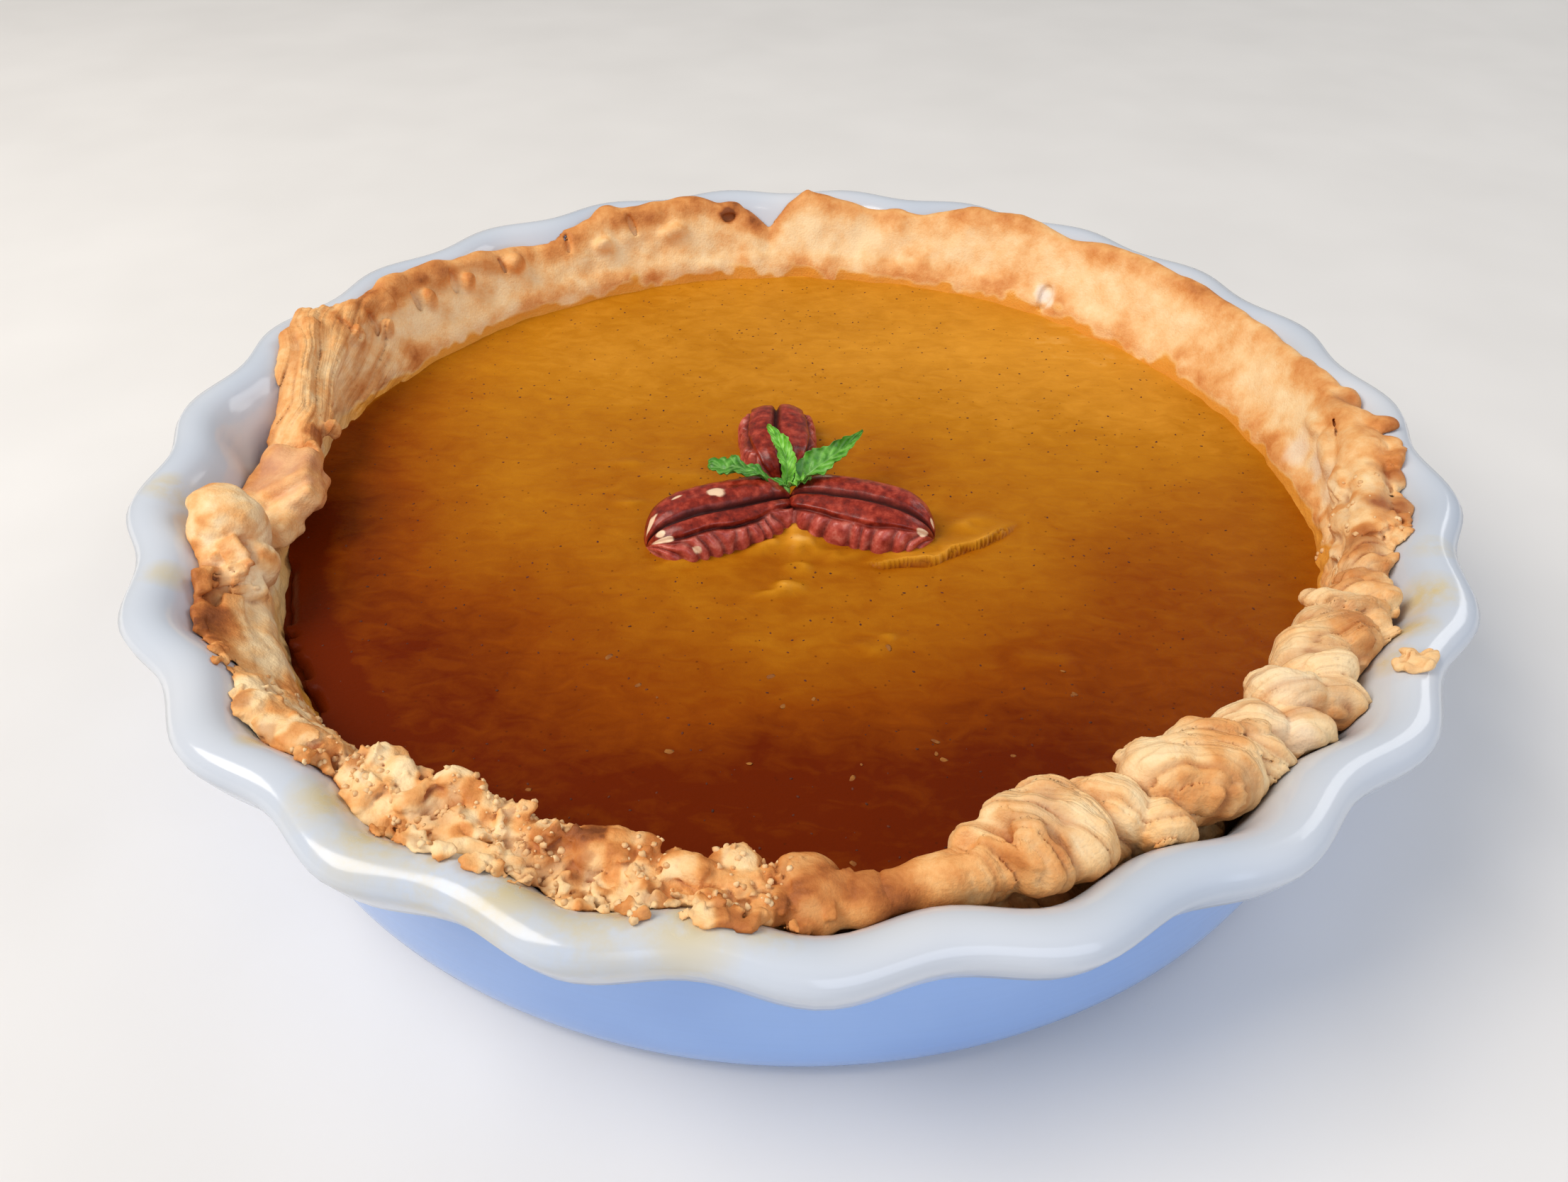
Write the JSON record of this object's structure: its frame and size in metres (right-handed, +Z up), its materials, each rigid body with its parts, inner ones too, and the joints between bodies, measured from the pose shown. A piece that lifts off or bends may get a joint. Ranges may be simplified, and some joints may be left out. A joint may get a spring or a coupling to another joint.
{
  "type": "sweet potato pie",
  "caption": "Round custard pie in its own deep fluted dish, with an uneven baked pastry rim, pecan halves and a mint sprig in the middle.",
  "frame": {"origin": "centre of the dish's flat base, on the table", "axes": "+Z up, -Y towards the pie's front, +X to its right"},
  "size_m": [0.2691, 0.2693, 0.0604],
  "materials": {
    "dish_glaze": "glossy opaque white, pale blue on the outside of the body",
    "pastry": "baked shortcrust, matt, cream to golden brown",
    "custard": "set custard with a soft gloss, orange brown",
    "pecan": "ridged nut skin, satin",
    "mint": "fresh leaf, satin"
  },
  "bodies": {
    "root": {"dish": "dish_glaze", "crust": "pastry", "crust_flake": "pastry", "filling": "custard", "pecan_left": "pecan", "pecan_right": "pecan", "pecan_back": "pecan", "mint_sprig": "mint"}
  },
  "joints": []
}
